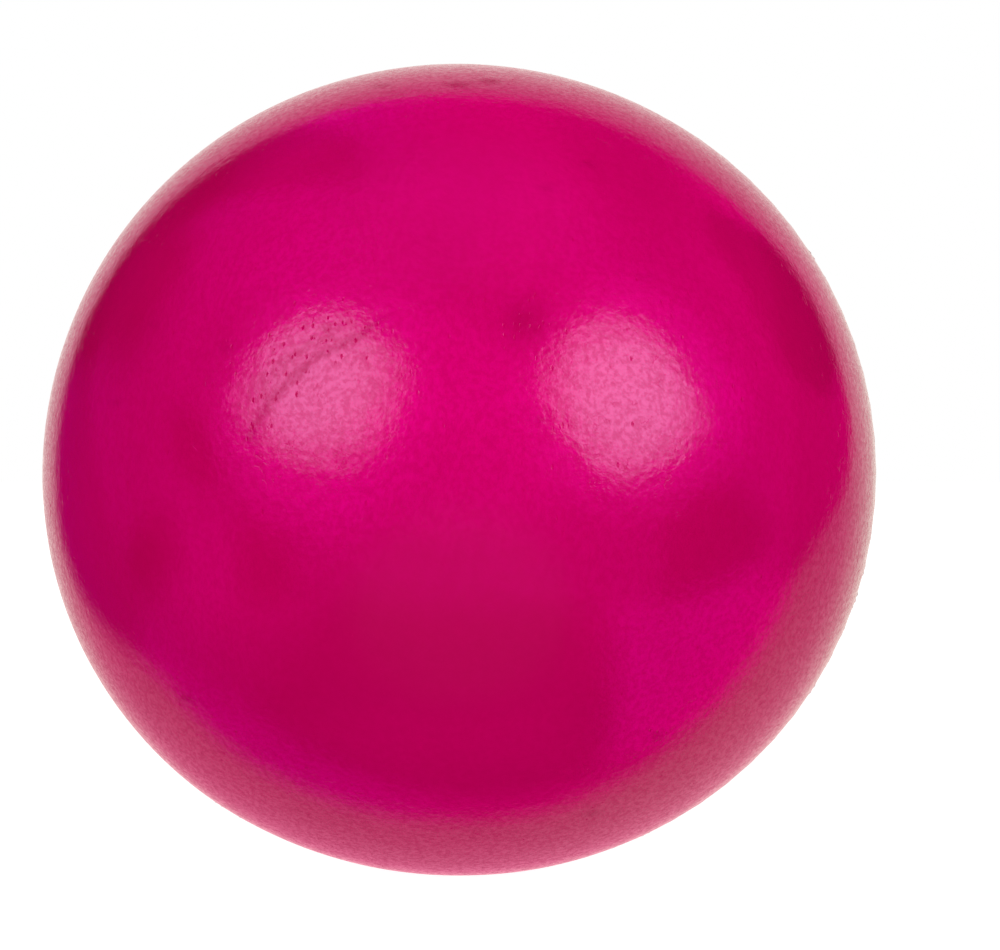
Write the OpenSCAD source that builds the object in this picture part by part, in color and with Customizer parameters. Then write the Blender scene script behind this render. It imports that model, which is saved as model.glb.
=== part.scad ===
/* [Ball] */
// Mean diameter of the leather, clear of the seam
ball_d = 71.4; // [66:0.1:72.4]

/* [Core] */
// Diameter of the moulded cork and rubber nucleus
nucleus_d = 28; // [24:0.5:32]
// Thickness of each of the two layers of sheet cork
cork_t = 2.6; // [1.5:0.1:3]
// Play between neighbouring layers, so that they stay separate solids
layer_gap = 0.1; // [0.05:0.01:0.2]

/* [Leather cups] */
// Thickness of the moulded leather
leather_t = 3.5; // [3:0.1:4]
// How far the lips stand proud of the ball along the seam
lip_h = 0.7; // [0.4:0.05:0.9]
// Radius of the bead that each lip is moulded to
bead_r = 1.9; // [1.6:0.05:2.4]
// Distance from the seam's plane to the middle of the bead
bead_y = 0.95; // [0.6:0.05:1.2]

/* [Stitching] */
// Number of stitches in each row around the ball
stitch_count = 80; // [60:1:90]
// Part of the pitch that a stitch covers
stitch_share = 0.8; // [0.6:0.02:0.86]
// Diameter of the thread where a stitch lies on the leather
thread_d = 0.9; // [0.7:0.05:1]
// Diameter of the thread where it dips between two stitches
dip_d = 0.4; // [0.3:0.05:0.5]
// Distance from the seam's plane to the closing row, at the foot of the lip
closing_y = 2.6; // [2.5:0.05:2.8]
// Distance from the seam's plane to the middle row
middle_y = 4.95; // [4.6:0.05:5.2]
// Distance from the seam's plane to the outer row
outer_y = 7.3; // [7:0.05:8.2]
// How far the closing row's thread centre lies under the leather's surface
closing_sink = 0.15; // [0.1:0.01:0.3]
// How far the other rows' thread centres lie under the leather's surface
row_sink = 0.3; // [0.2:0.01:0.35]

/* [Hidden] */
$fn = 96;

// The frame: the origin is the ball's centre, Z is up, and the seam lies in the XZ plane.
ball_r = ball_d / 2;
nucleus_r = nucleus_d / 2;
cover_inner_r = ball_r - leather_t;
yarn_t = (cover_inner_r - nucleus_r - 2 * cork_t - 6 * layer_gap) / 3;

// Outer radius of each layer, counted out from the nucleus
yarn_inner_r = nucleus_r + layer_gap + yarn_t;
cork_inner_r = yarn_inner_r + layer_gap + cork_t;
yarn_middle_r = cork_inner_r + layer_gap + yarn_t;
cork_outer_r = yarn_middle_r + layer_gap + cork_t;
yarn_outer_r = cork_outer_r + layer_gap + yarn_t;

bead_x = ball_r + lip_h - bead_r;
thread_r = thread_d / 2;
channel_r = thread_r + 0.06;
dip_r = dip_d / 2;
dip_sink = 0.2;
stitch_pitch = 360 / stitch_count;

// How far a row's thread centre lies from the ball's axis
function sink(y) = y == closing_y ? closing_sink : row_sink;
function row_x(y) = sqrt(ball_r * ball_r - y * y) - sink(y);

pink = [0.83, 0.02, 0.38];
thread_white = [0.93, 0.9, 0.84];
worsted = [0.8, 0.74, 0.6];
cork = [0.68, 0.48, 0.3];
cork_rubber = [0.35, 0.22, 0.14];

// Turns a shape made about Z so that its top faces the front, which is -Y.
module facing_front() {
    rotate([90, 0, 0]) children();
}

module facing_rear() {
    rotate([-90, 0, 0]) children();
}

module layer(outer_r, inner_r) {
    difference() {
        sphere(outer_r);
        sphere(inner_r + layer_gap);
    }
}

module core_nucleus() {
    color(cork_rubber) sphere(nucleus_r);
}

module yarn_winding_inner() {
    color(worsted) layer(yarn_inner_r, nucleus_r);
}

module cork_layer_inner() {
    color(cork) layer(cork_inner_r, yarn_inner_r);
}

module yarn_winding_middle() {
    color(worsted) layer(yarn_middle_r, cork_inner_r);
}

module cork_layer_outer() {
    color(cork) layer(cork_outer_r, yarn_middle_r);
}

module yarn_winding_outer() {
    color(worsted) layer(yarn_outer_r, cork_outer_r);
}

// Half the section of one cup: a quarter ring, with the lip's bead and a channel for each row.
module cup_section() {
    big = 2 * ball_r;
    difference() {
        union() {
            circle(ball_r);
            translate([bead_x, bead_y]) circle(bead_r);
        }
        circle(cover_inner_r);
        for (y = [closing_y, middle_y, outer_y]) {
            translate([row_x(y), y]) circle(channel_r);
        }
        translate([-big, -big]) square([big, 2 * big]);
        translate([-big, -big]) square([2 * big, big]);
    }
}

module cup() {
    rotate_extrude() cup_section();
}

module front_leather_cup() {
    color(pink) facing_front() cup();
}

module rear_leather_cup() {
    color(pink) facing_rear() cup();
}

// One row is one thread: it lies on the leather for a stitch, then dips before the next.
module stitch_row(y) {
    length = stitch_share * stitch_pitch;
    translate([0, 0, y]) union() {
        rotate_extrude() translate([row_x(y) - dip_sink, 0]) circle(dip_r, $fn = 24);
        for (i = [0 : stitch_count - 1]) {
            rotate([0, 0, i * stitch_pitch - length / 2]) rotate_extrude(angle = length)
                translate([row_x(y), 0]) circle(thread_r, $fn = 24);
        }
    }
}

module closing_stitch_row_front() {
    color(thread_white) facing_front() stitch_row(closing_y);
}

module closing_stitch_row_rear() {
    color(thread_white) facing_rear() stitch_row(closing_y);
}

module middle_stitch_row_front() {
    color(thread_white) facing_front() stitch_row(middle_y);
}

module middle_stitch_row_rear() {
    color(thread_white) facing_rear() stitch_row(middle_y);
}

module outer_stitch_row_front() {
    color(thread_white) facing_front() stitch_row(outer_y);
}

module outer_stitch_row_rear() {
    color(thread_white) facing_rear() stitch_row(outer_y);
}

core_nucleus();
yarn_winding_inner();
cork_layer_inner();
yarn_winding_middle();
cork_layer_outer();
yarn_winding_outer();
front_leather_cup();
rear_leather_cup();
closing_stitch_row_front();
closing_stitch_row_rear();
middle_stitch_row_front();
middle_stitch_row_rear();
outer_stitch_row_front();
outer_stitch_row_rear();
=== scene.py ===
"""The looks of a glossy pink leather cricket ball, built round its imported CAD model.

Metres, +Z up. The ball's centre is the origin and its seam lies in the XZ plane. The front cup's
pole faces -Y, towards the camera, so that the stitched seam lies just behind the ball's edge.
Lengths below that end in _mm are millimetres, and the meshes are worked out in millimetres.
"""
import math

import bpy
import numpy as np
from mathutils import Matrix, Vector, noise


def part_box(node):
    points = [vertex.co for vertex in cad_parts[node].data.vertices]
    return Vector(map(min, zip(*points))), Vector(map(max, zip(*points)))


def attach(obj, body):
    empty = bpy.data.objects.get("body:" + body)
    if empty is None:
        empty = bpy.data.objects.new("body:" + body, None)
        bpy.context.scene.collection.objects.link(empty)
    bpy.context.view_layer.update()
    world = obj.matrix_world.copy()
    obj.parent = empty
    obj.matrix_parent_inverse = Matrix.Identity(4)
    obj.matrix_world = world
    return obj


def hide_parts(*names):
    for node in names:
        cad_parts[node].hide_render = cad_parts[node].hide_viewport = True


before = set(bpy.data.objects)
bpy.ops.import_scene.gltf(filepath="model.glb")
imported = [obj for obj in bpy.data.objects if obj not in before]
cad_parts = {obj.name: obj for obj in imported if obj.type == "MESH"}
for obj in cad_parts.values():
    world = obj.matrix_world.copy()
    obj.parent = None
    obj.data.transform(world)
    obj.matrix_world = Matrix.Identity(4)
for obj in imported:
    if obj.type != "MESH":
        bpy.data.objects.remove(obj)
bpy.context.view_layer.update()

MM = 0.001

# ---------------------------------------------------------------- sizes, from the CAD model and listed

# The front cup reaches the pole of the ball along -Y, and the top of its lip along X.
CUP_LOW, CUP_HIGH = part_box("front_leather_cup")
BALL_R_mm = -CUP_LOW.y / MM
LIP_R_mm = CUP_HIGH.x / MM
CORE_R_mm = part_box("yarn_winding_outer")[1].x / MM + 0.1
BEAD_R_mm = 1.9
BEAD_Y_mm = 0.95
BEAD_X_mm = LIP_R_mm - BEAD_R_mm

# Each row of stitches: its distance from the seam's plane, and the radius of its thread's ring.
STITCHES = 80
ROWS_mm = {"closing": 2.6, "middle": 4.95, "outer": 7.3}
ROW_PITCH_mm = 2.35
THREAD_R_mm = 0.45
THREAD_SINK_mm = {"closing": 0.15, "middle": 0.33, "outer": 0.38}

# The ball isn't quite round, seen along its axis: it is a little wider than it is tall, and very
# slightly lobed. Each is (number of lobes, part of the radius, angle of the first in degrees).
LOBES = [(2, 0.013, 0), (3, 0.003, 95), (4, 0.0015, 40)]


# ---------------------------------------------------------------- numbers on the ball's surface

def smoothstep(low, high, x):
    t = np.clip((x - low) / (high - low), 0, 1)
    return t * t * (3 - 2 * t)


def noise_at(points_mm, per_mm, seed):
    """Perlin noise at each point, from about -1 to 1, with per_mm features to the millimetre."""
    shift = np.array([17.3, -9.1, 4.7]) * (seed + 1)
    return np.array([noise.noise(Vector(p)) for p in points_mm * per_mm + shift])


def out_of_round(points_mm):
    """Moves points outwards or inwards by the ball's ovalness. The core stays as the CAD has it."""
    r = np.linalg.norm(points_mm, axis=1, keepdims=True)
    u = points_mm / np.maximum(r, 1e-9)
    turn = np.arctan2(u[:, 2], u[:, 0])
    flat = np.hypot(u[:, 0], u[:, 2])
    grow = sum(part * flat ** n * np.cos(n * (turn - math.radians(first))) for n, part, first in LOBES)
    weight = smoothstep(CORE_R_mm + 0.2, CORE_R_mm + 2.4, r[:, 0])
    return points_mm * (1 + grow * weight)[:, None]


def to_segment(points, a, b):
    """Each point's distance from the segment between a and b, and how far along it lies, 0 to 1."""
    a, b = np.array(a, float), np.array(b, float)
    along = np.clip((points - a) @ (b - a) / ((b - a) @ (b - a)), 0, 1)
    return np.linalg.norm(points - a - along[:, None] * (b - a), axis=1), along


def to_line(points, line):
    """Each point's distance from a line of several segments, and how far along it lies, 0 to 1."""
    best, where = np.full(len(points), 1e9), np.zeros(len(points))
    for i, (a, b) in enumerate(zip(line, line[1:])):
        d, along = to_segment(points, a, b)
        near = d < best
        best[near] = d[near]
        where[near] = (i + along[near]) / (len(line) - 1)
    return best, where


# ---------------------------------------------------------------- the leather cups

# Marks on the front cup, as (x, z) in millimetres seen from the front.
LONG_CREASE = [(-14.0, 1.6), (-12.9, 3.5), (-11.5, 5.2), (-9.9, 6.8), (-7.6, 8.2), (-5.6, 9.3),
               (-3.6, 10.4)]
FINE_CREASE = [(-14.0, 4.5), (-12.3, 6.2), (-10.7, 7.7), (-8.9, 9.0), (-6.9, 10.2)]
SIDE_CREASES = [[(-7.3, 8.0), (-5.4, 7.6), (-3.7, 7.1)], [(-9.2, 10.5), (-8.5, 9.6), (-7.9, 8.65)]]
DIMPLE = (4.64, 9.8)
DIMPLE_R_mm = 2.0
# Each nick is (x, z, radius, depth and wear from 0 to 1), and is drawn out along x.
NICK_SQUEEZE = (0.5, 1.0)
NICKS = [(0.1, 29.5, 0.55, 1.0), (2.6, 30.1, 0.5, 1.0), (-5.8, 29.8, 0.4, 0.8),
         (-19.3, -16.4, 0.4, 0.8), (14.2, -18.7, 0.4, 0.8), (10.1, -25.3, 0.4, 0.8),
         (-15.4, 8.3, 0.3, 0.6), (-24.2, 4.9, 0.3, 0.6), (6.4, 19.6, 0.3, 0.6),
         (9.5, 21.8, 0.3, 0.6), (5.6, 3.3, 0.3, 0.5), (-21.3, 10.3, 0.3, 0.5),
         (12.9, 13.2, 0.3, 0.5)]


def front_marks(points_mm):
    """Depth in mm of the front cup's creases and dimple, and how worn the lacquer is there, 0 to 1,
    which in the creases and the dimple also stands for painted shade, as it darkens the dye.
    """
    flat = points_mm[:, [0, 2]]
    wobble = np.stack([noise_at(points_mm, 0.8, 3), noise_at(points_mm, 0.8, 4)], 1) * 0.35
    front = (points_mm[:, 1] < 0).astype(float)
    depth, wear_and_shade = np.zeros(len(flat)), np.zeros(len(flat))
    d, along = to_line(flat + wobble * 0.7, LONG_CREASE)
    ends = smoothstep(0, 0.08, along) * smoothstep(1, 0.85, along)
    width = 0.36 - 0.16 * along
    crease = np.exp(-((d / width) ** 2)) * ends
    depth += 0.012 * crease - 0.002 * np.exp(-(((d - 0.9) / 0.5) ** 2)) * ends
    # It opens into a shallow valley towards both of its ends.
    valley = 0.8 * smoothstep(0.38, 0.02, along) + smoothstep(0.72, 1, along)
    depth += 0.024 * valley * np.exp(-((d / 1.0) ** 2))
    # The crease dulls the lacquer, and its darkening of the dye is painted shade.
    wear_and_shade += 0.6 * crease + 0.2 * np.exp(-((d / 1.5) ** 2)) * ends
    d, along = to_line(flat + wobble * 1.6, FINE_CREASE)
    broken = 0.5 + 0.5 * np.sin(along * 34) ** 2
    ends = smoothstep(0, 0.1, along) * smoothstep(1, 0.9, along)
    fine = np.exp(-((d / 0.22) ** 2)) * ends
    depth += 0.005 * fine * broken
    # The fine crease dulls the lacquer, and its darkening of the dye is painted shade.
    wear_and_shade += 0.3 * fine * broken + 0.25 * np.exp(-((d / 1.5) ** 2)) * ends
    for line in SIDE_CREASES:
        d, along = to_line(flat + wobble, line)
        side = np.exp(-((d / 0.2) ** 2)) * np.sin(math.pi * along) ** 0.5
        depth += 0.004 * side
        # These creases dull the lacquer, and their darkening of the dye is painted shade.
        wear_and_shade += 0.3 * side
    d = np.linalg.norm(flat + wobble * 0.6 - np.array(DIMPLE), axis=1)
    bowl = np.exp(-((d / DIMPLE_R_mm) ** 2) * 1.6)
    depth += (0.03 + 0.011 * np.cos(d * 2 * math.pi / 0.8)) * bowl
    # The dimple dulls the lacquer, and its darkening of the dye is painted shade and painted reflection.
    wear_and_shade += 0.9 * bowl
    # Nicks in the lacquer: small dark scuffs, and hair scratches.
    for x, z, radius, amount in NICKS:
        d = np.linalg.norm((flat + wobble * 0.4 - np.array((x, z))) * NICK_SQUEEZE, axis=1)
        nick = np.exp(-((d / radius) ** 2))
        depth += 0.006 * amount * nick
        wear_and_shade += amount * nick
    return depth * front, np.clip(wear_and_shade, 0, 1) * front


# How far apart the rings of a cup's mesh are: on the stitched band, on plain leather, and within
# MARKS_R_mm of the pole, where the creases are.
FINE_TO_Y_mm = 9.4
BAND_STEP_mm = 0.21
PLAIN_STEP_mm = 0.46
MARKED_STEP_mm = 0.32
MARKS_R_mm = 17


def section():
    """A cup's section from the pole to the seam and back: (distance from axis, height to the pole)."""
    outer = []
    lip_top = BEAD_Y_mm + 1.6
    for y in np.linspace(0, lip_top, 15):
        bead = BEAD_X_mm + math.sqrt(BEAD_R_mm ** 2 - (y - BEAD_Y_mm) ** 2)
        ball = math.sqrt(BALL_R_mm ** 2 - y * y)
        outer.append((max(bead, ball) + 0.06 * math.exp(-(((bead - ball) / 0.2) ** 2)), y))
    y = lip_top + 0.2
    while y < FINE_TO_Y_mm:
        outer.append((math.sqrt(BALL_R_mm ** 2 - y * y), y))
        y += BAND_STEP_mm
    # Past the stitched band the rings are further apart, and they close up again near the marks.
    angle = math.asin(outer[-1][1] / BALL_R_mm)
    while True:
        marked = BALL_R_mm * math.cos(angle) < MARKS_R_mm
        angle += (MARKED_STEP_mm if marked else PLAIN_STEP_mm) / BALL_R_mm
        if angle > math.pi / 2 - 0.3 / BALL_R_mm:
            break
        outer.append((BALL_R_mm * math.cos(angle), BALL_R_mm * math.sin(angle)))
    inner = []
    for i in range(25):
        a = math.pi / 2 * i / 25
        inner.append((CORE_R_mm * math.cos(a), CORE_R_mm * math.sin(a)))
    butt = [(CORE_R_mm + (outer[0][0] - CORE_R_mm) * t, 0) for t in (0.9, 0.75, 0.5, 0.25)]
    return outer[::-1] + butt + inner


FULL_RING = STITCHES * 12


def ring_count(rho):
    """How many points a ring takes, so that they stay about as far apart as the rings are."""
    n = FULL_RING
    while n > 15 and 2 * math.pi * rho / n < 0.2:
        n //= 2
    return n


def join_rings(faces, a, na, b, nb):
    """Faces between two rings that start at a and b, of which one may have half the other's points."""
    if na == nb:
        for i in range(na):
            j = (i + 1) % na
            faces.append((a + i, a + j, b + j, b + i))
    elif na * 2 == nb:
        for i in range(na):
            j = (i + 1) % na
            p, q, r = b + 2 * i, b + 2 * i + 1, b + (2 * i + 2) % nb
            faces += [(a + i, q, p), (a + i, a + j, q), (a + j, r, q)]
    else:
        for i in range(nb):
            j = (i + 1) % nb
            p, q, r = a + 2 * i, a + 2 * i + 1, a + (2 * i + 2) % na
            faces += [(p, q, b + i), (q, b + j, b + i), (q, r, b + j)]


def revolve(profile, counts):
    """Points and faces of a profile turned about the ball's polar axis, closed at both poles."""
    points, faces, starts = [], [], []
    for (rho, y), n in zip(profile, counts):
        starts.append(sum(len(p) for p in points))
        turn = np.arange(n) * 2 * math.pi / n
        points.append(np.stack([rho * np.cos(turn), np.full(n, -y), rho * np.sin(turn)], 1))
    for k in range(len(profile) - 1):
        join_rings(faces, starts[k], counts[k], starts[k + 1], counts[k + 1])
    points = np.concatenate(points)
    first, last = len(points), len(points) + 1
    top = -np.linalg.norm(profile[0])
    bottom = -np.linalg.norm(profile[-1])
    points = np.concatenate([points, [[0, top, 0], [0, bottom, 0]]])
    n = counts[0]
    faces += [(first, (i + 1) % n, i) for i in range(n)]
    s, n = starts[-1], counts[-1]
    faces += [(last, s + i, s + (i + 1) % n) for i in range(n)]
    return points, [face[::-1] for face in faces]


def cup_counts(profile, outer_len):
    counts = []
    for k, (rho, _) in enumerate(profile):
        if k < outer_len:
            counts.append(ring_count(rho))
        else:
            counts.append(max(60, counts[-1] // 2))
    # One ring may have at most twice the next one's points, so the counts are eased from the seam.
    for k in range(outer_len - 2, -1, -1):
        counts[k] = max(counts[k], counts[k + 1] // 2)
    return counts


def stitch_phase(points_mm):
    """Where each point lies in its stitch's pitch, from 0 to 1, with the stitch's middle at 0."""
    turn = np.arctan2(points_mm[:, 2], points_mm[:, 0]) / (2 * math.pi)
    return (turn * STITCHES) % 1


def dip(phase):
    """0 at the middle of a stitch and 1 where the thread dives between two."""
    return ((1 - np.cos(2 * math.pi * phase)) / 2) ** 5


def leather_height(points_mm, side, seed):
    """How far each point of a cup's outside moves outwards in mm, and a 0 to 1 amount that dulls the
    lacquer and darkens the dye: real wear at the nicks, painted shade in the creases and the dimple, and
    darker along the stitch rows.
    """
    y = np.abs(points_mm[:, 1])
    phase = stitch_phase(points_mm)
    gap = dip(phase)
    # Low, broad lumps in the moulded leather, and finer ones over them.
    height = 0.04 * noise_at(points_mm, 0.035, seed) + 0.035 * noise_at(points_mm, 0.09, seed + 1)
    height += 0.006 * noise_at(points_mm, 0.3, seed + 2) + 0.0016 * noise_at(points_mm, 0.9, seed + 5)
    wear_and_shade = np.zeros(len(y))
    # The stitched band swells a little, and each row pulls the leather in.
    band = smoothstep(8.9, 7.9, y)
    height += 0.05 * band
    for row in ROWS_mm.values():
        pull = np.exp(-(((y - row) / 0.55) ** 2))
        height -= pull * (0.34 - 0.16 * gap)
        hole = pull * np.exp(-((1 - gap) / 0.35) ** 2)
        # Along each row the dye is darker and the lacquer duller.
        wear_and_shade += 0.35 * pull
        height -= 0.1 * np.exp(-(((y - row) / 0.3) ** 2)) * np.exp(-(((gap - 0.4) / 0.25) ** 2))
        wear_and_shade += 0.2 * hole
    # Between two rows the leather puckers a little with each stitch.
    between = np.sin(math.pi * (y - ROWS_mm["closing"]) / ROW_PITCH_mm) ** 2
    height += band * between * (0.06 + 0.035 * np.cos(2 * math.pi * phase))
    if side < 0:
        depth, marks = front_marks(points_mm)
        height -= depth
        wear_and_shade += marks
    return height, np.clip(wear_and_shade, 0, 1)


def new_mesh(name, points_mm, faces, attributes=()):
    mesh = bpy.data.meshes.new(name)
    mesh.from_pydata((points_mm * MM).tolist(), [], faces)
    mesh.polygons.foreach_set("use_smooth", [True] * len(mesh.polygons))
    for label, values in attributes:
        mesh.attributes.new(label, "FLOAT", "POINT").data.foreach_set("value", values.astype(np.float32))
    mesh.update()
    piece = bpy.data.objects.new(name, mesh)
    bpy.context.scene.collection.objects.link(piece)
    return piece


def leather_cup(name, side, seed):
    """One cup, as a closed solid. side is -1 for the front cup and 1 for the rear one."""
    profile = section()
    outer_len = next(k for k, (_, y) in enumerate(profile) if y == 0) + 1
    counts = cup_counts(profile, outer_len)
    points, faces = revolve(profile, counts)
    if side > 0:
        points[:, 1] *= -1
        faces = [f[::-1] for f in faces]
    outside = np.zeros(len(points), bool)
    outside[:sum(counts[:outer_len])] = True
    outside[-2] = True
    height, wear_and_shade = leather_height(points[outside], side, seed)
    direction = points[outside] / np.linalg.norm(points[outside], axis=1, keepdims=True)
    points[outside] += direction * height[:, None]
    worn_and_shaded = np.zeros(len(points))
    worn_and_shaded[outside] = wear_and_shade
    piece = new_mesh(name, out_of_round(points), faces, [("wear_and_shade", worn_and_shaded)])
    return piece


# ---------------------------------------------------------------- the stitching

def stitch_row(name, side, row, seed):
    """One row of stitches: a twisted three-strand thread that dives under the leather after each."""
    y = ROWS_mm[row]
    surface = math.sqrt(BALL_R_mm ** 2 - y * y)
    per_stitch, around, strands = 18, 18, 3
    n = STITCHES * per_stitch
    turn = np.arange(n) * 2 * math.pi / n
    phase = (turn * STITCHES / (2 * math.pi)) % 1
    sunk = dip(phase)
    twist = turn * STITCHES * 1.5
    uneven = np.sin(turn * 7 + seed) * 0.03 + np.sin(turn * 23 + 2 * seed) * 0.03
    points = []
    for k in range(around):
        a = 2 * math.pi * k / around
        r = THREAD_R_mm * (1 - 0.25 * sunk) * (1 + 0.13 * np.cos(strands * (a + twist)))
        out = surface - THREAD_SINK_mm[row] + uneven - 0.85 * sunk + r * math.cos(a)
        across = y + r * math.sin(a) * 1.05 + uneven * 0.5
        points.append(np.stack([out * np.cos(turn), side * across, out * np.sin(turn)], 1))
    points = np.stack(points, 1).reshape(-1, 3)
    faces = []
    for i in range(n):
        j = (i + 1) % n
        for k in range(around):
            m = (k + 1) % around
            face = (i * around + k, i * around + m, j * around + m, j * around + k)
            faces.append(face if side > 0 else face[::-1])
    return new_mesh(name, out_of_round(points), faces)


# ---------------------------------------------------------------- materials

class Nodes:
    """The nodes of a material or of the world, with short ways to add and join them."""

    def __init__(self, tree):
        self.tree = tree

    def add(self, kind, inputs=(), **settings):
        node = self.tree.nodes.new(kind)
        for key, value in settings.items():
            setattr(node, key, value)
        for key, value in dict(inputs).items():
            if isinstance(value, bpy.types.NodeSocket):
                self.tree.links.new(value, node.inputs[key])
            else:
                node.inputs[key].default_value = value
        return node

    def math(self, operation, a, b=0.0, c=0.0):
        return self.add("ShaderNodeMath", {0: a, 1: b, 2: c}, operation=operation).outputs[0]

    def ramp(self, factor, low, high, to_low=0.0, to_high=1.0):
        node = self.add("ShaderNodeMapRange", {"Value": factor, "From Min": low, "From Max": high,
                                               "To Min": to_low, "To Max": to_high})
        node.interpolation_type = "SMOOTHSTEP"
        return node.outputs["Result"]

    def mix(self, factor, a, b):
        node = self.add("ShaderNodeMix", data_type="RGBA")
        for socket, value in ((node.inputs["Factor"], factor), (node.inputs[6], a), (node.inputs[7], b)):
            if isinstance(value, bpy.types.NodeSocket):
                self.tree.links.new(value, socket)
            else:
                socket.default_value = value
        return node.outputs[2]


class Surface(Nodes):
    """A material's nodes round its Principled shader."""

    def __init__(self, name):
        self.material = bpy.data.materials.new(name)
        self.material.use_nodes = True
        super().__init__(self.material.node_tree)
        self.shader = self.tree.nodes["Principled BSDF"]

    def mm(self):
        """Object coordinates in millimetres."""
        place = self.add("ShaderNodeTexCoord").outputs["Object"]
        return self.add("ShaderNodeVectorMath", {0: place, 3: 1 / MM}, operation="SCALE").outputs[0]

    def noise(self, place, per_mm, detail=2.0, roughness=0.5):
        return self.add("ShaderNodeTexNoise", {"Vector": place, "Scale": per_mm, "Detail": detail,
                                               "Roughness": roughness}).outputs["Fac"]

    def set(self, **values):
        for key, value in values.items():
            socket = self.shader.inputs[key.replace("_", " ")]
            if isinstance(value, bpy.types.NodeSocket):
                self.tree.links.new(value, socket)
            else:
                socket.default_value = value

    def bump(self, height_mm):
        """A bump whose height is in millimetres."""
        node = self.add("ShaderNodeBump", {"Height": height_mm, "Distance": MM, "Strength": 1.0})
        return node.outputs["Normal"]


def pink_leather():
    n = Surface("lacquered_pink_leather")
    place = n.mm()
    wear_and_shade = n.add("ShaderNodeAttribute", attribute_name="wear_and_shade").outputs["Fac"]
    # Dye: mottled in broad soft patches and finely, and darker where the wear-and-shade attribute is
    # high: painted shade in the creases and the dimple, real scuffs at the nicks, and darker along the
    # stitch rows.
    broad = n.ramp(n.noise(place, 0.05, 2), 0.35, 0.65)
    fine = n.ramp(n.noise(place, 1.3, 4, 0.6), 0.3, 0.7)
    dye = n.mix(broad, (0.6, 0.0, 0.1, 1), (0.66, 0.0, 0.116, 1))
    dye = n.mix(n.math("MULTIPLY", fine, 0.12), dye, (0.48, 0.0, 0.07, 1))
    # Painted shade: the dye darkens in the creases and the dimple; at the nicks and along the stitch
    # rows it is darker too.
    dye = n.mix(n.math("MULTIPLY", wear_and_shade, 0.5), dye, (0.38, 0.0, 0.055, 1))
    # Lacquer: fine grain over a ripple, and hair-fine cracks in patches.
    grain = n.noise(place, 2.8, 3, 0.6)
    height = n.math("MULTIPLY_ADD", grain, 0.012, n.math("MULTIPLY", n.noise(place, 0.8, 2, 0.5), 0.022))
    height = n.math("MULTIPLY_ADD", n.math("MULTIPLY", n.noise(place, 1.6, 2, 0.6), wear_and_shade), 0.02, height)
    crack = n.math("ABSOLUTE", n.math("SUBTRACT", n.noise(place, 0.55, 3, 0.6), 0.5))
    crack = n.math("MULTIPLY", n.ramp(crack, 0, 0.012, 1, 0), n.ramp(n.noise(place, 0.7, 1), 0.56, 0.66))
    # Small upright pores: many where the leather is creased, and few elsewhere.
    tall = n.add("ShaderNodeVectorMath", {0: place, 1: (3.0, 3.0, 1.3)}, operation="MULTIPLY").outputs[0]
    dots = n.add("ShaderNodeTexVoronoi", {"Vector": tall, "Scale": 1.0}, feature="F1")
    seed = n.add("ShaderNodeSeparateColor", {0: dots.outputs["Color"]}).outputs[0]
    chosen = n.ramp(n.math("MULTIPLY_ADD", wear_and_shade, 1.2, seed), 0.92, 1.02)
    pore = n.math("MULTIPLY", n.ramp(dots.outputs["Distance"], 0.16, 0.32, 1, 0), chosen)
    height = n.math("MULTIPLY_ADD", crack, -0.003, height)
    height = n.math("MULTIPLY_ADD", pore, -0.008, height)
    # The gloss is broken up finely, and dulled in cracks, pores and worn creases.
    speckle = n.ramp(n.noise(place, 2.6, 3, 0.75), 0.4, 0.6)
    gloss = n.math("MULTIPLY_ADD", speckle, -0.45, 1.18)
    creased = n.math("MULTIPLY", n.math("SUBTRACT", wear_and_shade, 0.25), 0.75)
    opened = n.math("MAXIMUM", n.math("MULTIPLY", pore, 0.85), n.math("MULTIPLY", crack, 0.4))
    dull = n.math("MAXIMUM", creased, opened)
    gloss = n.math("MULTIPLY", gloss, n.math("SUBTRACT", 1, n.math("MAXIMUM", dull, 0)))
    dye = n.mix(n.math("MULTIPLY", speckle, 0.16), dye, (0.5, 0.0, 0.075, 1))
    n.set(Base_Color=dye, Roughness=0.5, Specular_IOR_Level=0.0, Coat_Weight=gloss,
          Coat_Roughness=0.08, Coat_IOR=1.5, Coat_Normal=n.bump(height), Normal=n.bump(height))
    return n.material


def waxed_thread():
    n = Surface("waxed_seam_thread")
    place = n.mm()
    fibre = n.noise(place, 9.0, 4, 0.65)
    grime = n.ramp(n.noise(place, 0.25, 3), 0.4, 0.7)
    colour = n.mix(n.ramp(fibre, 0.3, 0.7), (0.74, 0.69, 0.6, 1), (0.92, 0.89, 0.82, 1))
    colour = n.mix(n.math("MULTIPLY", grime, 0.18), colour, (0.6, 0.2, 0.26, 1))
    n.set(Base_Color=colour, Roughness=0.55, Specular_IOR_Level=0.35, Sheen_Weight=0.2,
          Normal=n.bump(n.math("MULTIPLY", fibre, 0.03)))
    return n.material


def plain_core(name, dark, light, per_mm):
    n = Surface(name)
    place = n.mm()
    grains = n.noise(place, per_mm, 4, 0.6)
    n.set(Base_Color=n.mix(n.ramp(grains, 0.35, 0.65), dark, light), Roughness=0.85,
          Normal=n.bump(n.math("MULTIPLY", grains, 0.2)))
    return n.material


# ---------------------------------------------------------------- build

def dress(piece, material, slot, *nodes):
    piece.data.materials.append(material)
    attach(piece, "root")
    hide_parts(*nodes)


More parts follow.
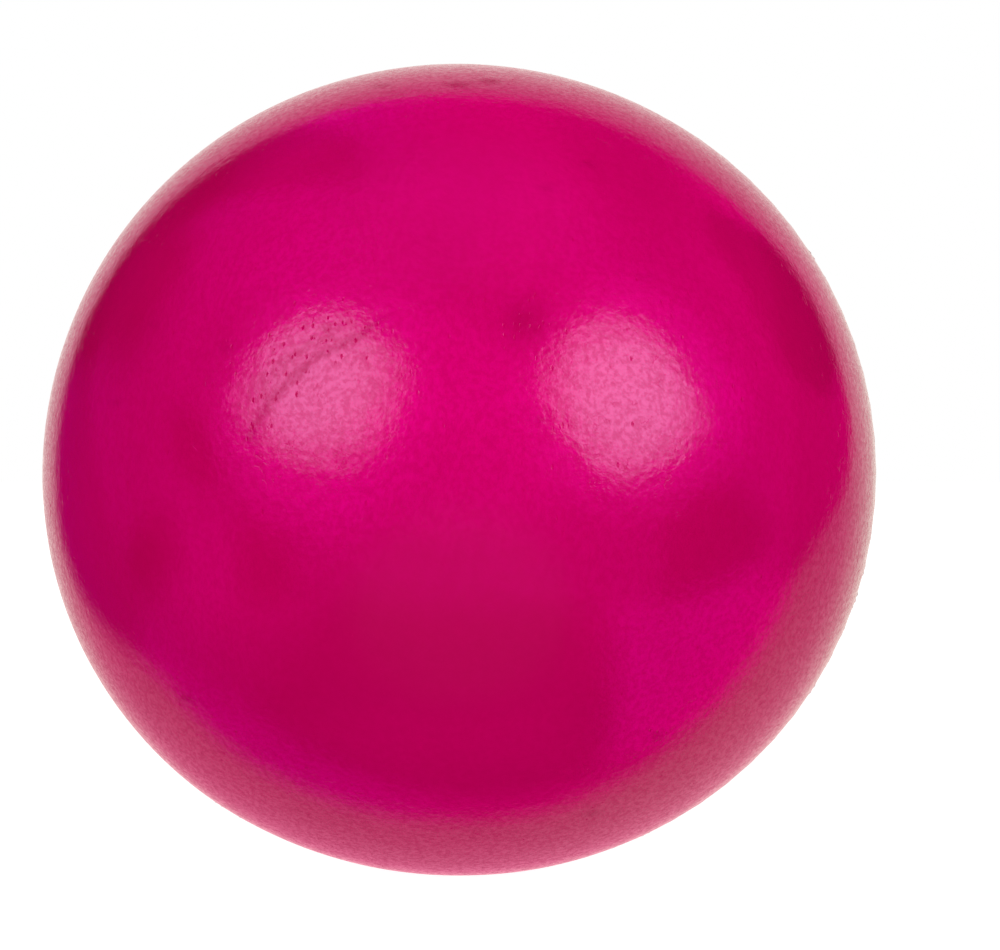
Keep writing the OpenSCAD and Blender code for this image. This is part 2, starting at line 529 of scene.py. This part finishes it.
leather = pink_leather()
dress(leather_cup("front_cup_leather", -1, 11), leather, "pink_leather", "front_leather_cup")
dress(leather_cup("rear_cup_leather", 1, 29), leather, "pink_leather", "rear_leather_cup")
thread = waxed_thread()
for row_number, row_name in enumerate(ROWS_mm):
    for side_number, (side_name, side_sign) in enumerate((("front", -1), ("rear", 1))):
        threads = stitch_row(f"{row_name}_stitches_{side_name}", side_sign, row_name,
                             row_number * 2 + side_number)
        dress(threads, thread, "waxed_thread", f"{row_name}_stitch_row_{side_name}")

core_materials = {
    "core_nucleus": plain_core("cork_and_rubber", (0.05, 0.02, 0.012, 1), (0.2, 0.1, 0.05, 1), 0.9),
    "yarn": plain_core("worsted_yarn", (0.42, 0.36, 0.25, 1), (0.66, 0.58, 0.44, 1), 1.8),
    "cork": plain_core("sheet_cork", (0.2, 0.09, 0.04, 1), (0.5, 0.3, 0.15, 1), 0.7),
}
for node_name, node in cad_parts.items():
    for kind, material in core_materials.items():
        if kind in node_name and not node.hide_render:
            node.data.materials.clear()
            node.data.materials.append(material)


# ---------------------------------------------------------------- camera, lights and surround

# The camera stands close in front of the ball, where the seam hides behind the ball's edge.
CAMERA_TURN = math.radians(0.5)
CAMERA_DISTANCE = 3.4 * BALL_R_mm * MM
back = Vector((math.sin(CAMERA_TURN), -math.cos(CAMERA_TURN), 0))
camera_data = bpy.data.cameras.new("camera")
camera_data.sensor_width = 36
camera_data.lens = 48.17
camera_data.shift_x = 0.0411
camera_data.shift_y = -0.0041
camera_data.clip_start = 0.01
camera = bpy.data.objects.new("camera", camera_data)
camera.location = back * CAMERA_DISTANCE
camera.rotation_euler = (-back).to_track_quat("-Z", "Y").to_euler()
bpy.context.scene.collection.objects.link(camera)
bpy.context.scene.camera = camera


def toward(azimuth, elevation):
    """The direction at an azimuth from -Y towards +X, and an elevation, in degrees."""
    a, e = math.radians(azimuth), math.radians(elevation)
    return Vector((math.sin(a) * math.cos(e), -math.cos(a) * math.cos(e), math.sin(e)))


def soft_light(name, azimuth, elevation, power, width=1.5, distance=1.5):
    """A large round light for the ball's soft shading, which the lacquer doesn't mirror."""
    data = bpy.data.lights.new(name, "AREA")
    data.shape = "DISK"
    data.size = width
    data.energy = power
    light = bpy.data.objects.new(name, data)
    direction = toward(azimuth, elevation)
    light.location = direction * distance
    light.rotation_euler = (-direction).to_track_quat("-Z", "Y").to_euler()
    light.visible_camera = False
    light.visible_glossy = False
    bpy.context.scene.collection.objects.link(light)


soft_light("soft_light_left", -38, 20, 8.3)
soft_light("soft_light_right", 45, 18, 8.6)
soft_light("soft_light_low", 0, -35, 7.8)
soft_light("soft_light_top", 0, 72, 4.1)
soft_light("soft_light_back_left", -155, 14, 7.5)
soft_light("soft_light_back_right", 155, 14, 7.5)

# What the lacquer mirrors in front of the ball. Each panel's corners are (azimuth, elevation) in
# degrees, and its edge fades over twice its softness in degrees.
# A soft box is (brightness at its edge, how much brighter its middle is, softness, corners), and
# it falls to its edge's brightness BOX_REACH degrees from its middle.
BOX_REACH = 22
BOXES = [
    (0.5, 2.3, 1.2, [(-38, 40), (-27, 38), (-17, 32), (-12, 24), (-16, 11), (-21, 2), (-33, -1),
                     (-47, 4), (-57, 10), (-61, 17), (-56, 30), (-48, 37)]),
    (0.5, 2.5, 1.2, [(47, 39), (59, 33), (65, 21), (67, 10), (53, 1), (43, -4), (34, 1), (25, 12),
                     (21, 22), (31, 35)]),
]
# The rest of the room, which each panel (amount, softness, corners) makes brighter or darker.
ROOM_LEVEL = 1.6
FLOOR_GREEN = 0.31
ROOM = [
    # The glow round each soft box, and between them.
    (2.9, 9, [(-66, 17), (-60, 36), (-38, 46), (-12, 36), (-8, 12), (-28, -18), (-57, -2)]),
    (3.1, 9, [(15, 25), (46, 45), (66, 42), (82, 12), (50, -10), (24, -4)]),
    (1.3, 6, [(-24, 42), (2, 41), (17, 29), (19, 14), (-2, 10), (-12, 10)]),
    # The dark half of the room below and to the left, and dark things in it.
    (0.8, 8, [(-75, 36), (-45, 33), (-10, 34), (0, 44), (-20, 58), (-75, 52)]),
    (-1.2, 8, [(-31, -29), (38, -31), (114, -63), (162, -79), (-117, -75), (-92, -50)]),
    (0.9, 10, [(-25, 14), (24, 14), (26, -14), (-22, -14)]),
    (-0.7, 10, [(-60, -25), (-30, -30), (-90, -52), (-100, -35)]),
    (-0.65, 12, [(-165, 40), (-100, 48), (-80, 20), (-80, -28), (-110, -34), (-150, -20), (-170, 10)]),
    (-0.5, 4, [(-125, 22), (-102, -4), (-100, -26), (-126, -30), (-170, 5), (-155, 34)]),
    (-1.0, 4, [(-150, 34), (-128, 32), (-104, 55), (-72, 72), (-122, 72), (-150, 46)]),
    (-0.9, 8, [(-100, 44), (-130, 40), (-158, 30), (-158, 10), (-125, 13), (-98, 18)]),
    (-1.3, 5, [(-80, 13), (-67, 12), (-59, -2), (-67, -5), (-78, 4)]),
    (-0.9, 5, [(-92, -9), (-77, -7), (-74, -18), (-98, -23), (-100, -15)]),
    (-1.4, 5, [(-58, -11), (-44, -16), (-44, -28), (-62, -30)]),
    # Dark things to the right.
    (-1.2, 5, [(52, -9), (69, -1), (90, -11), (85, -19), (59, -33)]),
    (-0.7, 5, [(102, 22), (150, 38), (165, 10), (150, -8), (130, -26), (110, -22), (92, -10)]),
    (-1.2, 3, [(104, 44), (121, 44), (136, 14), (114, 11), (97, 19)]),
    (-0.7, 8, [(60, 50), (100, 46), (150, 40), (170, 60), (110, 72), (50, 62)]),
    # The bright floor to the lower right, and the bright ceiling.
    (1.4, 5, [(43, -33), (81, -19), (109, -19), (109, -33), (110, -55), (101, -64)]),
    (1.0, 14, [(-55, 34), (50, 34), (90, 58), (-90, 62)]),
]


def surround():
    """White all round for the camera, soft light for the leather, and a studio for its lacquer."""
    world = bpy.data.worlds.new("white_surround")
    bpy.context.scene.world = world
    world.use_nodes = True
    world.node_tree.nodes.clear()
    n = Nodes(world.node_tree)
    ray = n.add("ShaderNodeTexCoord").outputs["Generated"]
    axes = n.add("ShaderNodeSeparateXYZ", {0: ray})
    x, y, z = axes.outputs

    def facing(direction):
        node = n.add("ShaderNodeVectorMath", {0: ray, 1: direction}, operation="DOT_PRODUCT")
        return node.outputs["Value"]

    def panel(softness, corners):
        points = [toward(*corner) for corner in corners]
        middle = sum(points, Vector()).normalized()
        inside = 1.0
        fade = math.sin(math.radians(softness))
        for a, b in zip(points, points[1:] + points[:1]):
            inward = a.cross(b).normalized()
            inward *= math.copysign(1, inward.dot(middle))
            inside = n.math("MULTIPLY", n.ramp(facing(inward), -fade, fade), inside)
        return inside, middle

    white = 0.0
    for edge_level, middle_level, softness, corners in BOXES:
        inside, middle = panel(softness, corners)
        peak = edge_level + middle_level
        level = n.ramp(facing(middle), math.cos(math.radians(BOX_REACH)), 1, edge_level, peak)
        white = n.math("MULTIPLY_ADD", inside, level, white)
    room = ROOM_LEVEL
    for amount, softness, corners in ROOM:
        room = n.math("MULTIPLY_ADD", panel(softness, corners)[0], amount, room)
    room = n.math("MAXIMUM", room, 0)
    # The white sweep behind the ball begins further forward on the floor than it does above it.
    lean = n.math("MULTIPLY_ADD", x, -0.15, z)
    edge = n.math("SUBTRACT", n.ramp(lean, -0.5, 0, 0.31, 0.7), n.ramp(z, 0.3, 1, 0, 0.2))
    edge = n.math("SUBTRACT", edge, n.ramp(x, 0.2, 0.7, 0, 0.08))
    fade = n.ramp(z, -0.5, 0.1, 0.11, 0.04)
    beyond = n.ramp(n.math("DIVIDE", n.math("SUBTRACT", y, edge), fade), -1, 1)
    above = n.ramp(z, -0.6, -0.1)
    over_floor = n.math("SUBTRACT", n.ramp(y, 0.45, 0.95, 0.15, 0.78), FLOOR_GREEN)
    sweep_green = n.math("MULTIPLY_ADD", over_floor, above, FLOOR_GREEN)
    right_side = n.math("MULTIPLY", n.ramp(x, 0, 0.5, 0, 0.12), n.ramp(z, 0.05, 0.35, 1, 0))
    sweep_green = n.math("ADD", sweep_green, right_side)
    sweep_blue = n.math("MULTIPLY_ADD", sweep_green, 0.45, 0.4)
    front = n.math("SUBTRACT", 1.0, beyond)

    def blend(near, far):
        return n.math("MULTIPLY_ADD", far, beyond, n.math("MULTIPLY", near, front))

    red = blend(n.math("ADD", room, white), n.ramp(z, -0.6, 0.2, 1.2, 0.95))
    green = blend(white, sweep_green)
    pinker = n.math("MULTIPLY", n.ramp(y, -0.4, 0.4), n.ramp(x, -0.4, 0.1, 0, 0.2))
    room_blue = n.math("MULTIPLY", room, n.math("SUBTRACT", 0.52, pinker))
    blue = blend(n.math("MULTIPLY_ADD", white, 1.4, room_blue), sweep_blue)
    studio = n.add("ShaderNodeCombineXYZ", {0: red, 1: green, 2: blue}).outputs[0]
    soft = n.ramp(y, -0.3, 0.8, 0.18, 0.4)
    path = n.add("ShaderNodeLightPath")
    seen = n.mix(path.outputs["Is Glossy Ray"], soft, studio)
    seen = n.mix(path.outputs["Is Camera Ray"], seen, (1, 1, 1, 1))
    light = n.add("ShaderNodeBackground", {"Color": seen, "Strength": 1.0})
    n.add("ShaderNodeOutputWorld", {"Surface": light.outputs[0]})


surround()


def pale_floor():
    """A wide white floor that the ball rests on, seen by the camera only."""
    half = 4.0
    z = -LIP_R_mm * MM * (1 - LOBES[0][1])
    mesh = bpy.data.meshes.new("floor")
    corners = [(-half, -half, z), (half, -half, z), (half, half, z), (-half, half, z)]
    mesh.from_pydata(corners, [], [(0, 1, 2, 3)])
    floor = bpy.data.objects.new("floor", mesh)
    n = Surface("pale_floor")
    n.set(Base_Color=(0.3, 0.3, 0.3, 1), Roughness=0.9, Specular_IOR_Level=0.0,
          Emission_Color=(1, 1, 1, 1), Emission_Strength=0.97)
    mesh.materials.append(n.material)
    bpy.context.scene.collection.objects.link(floor)
    floor.visible_glossy = False
    floor.visible_diffuse = False
    floor.visible_shadow = False


pale_floor()

bpy.context.scene.view_settings.view_transform = "Standard"
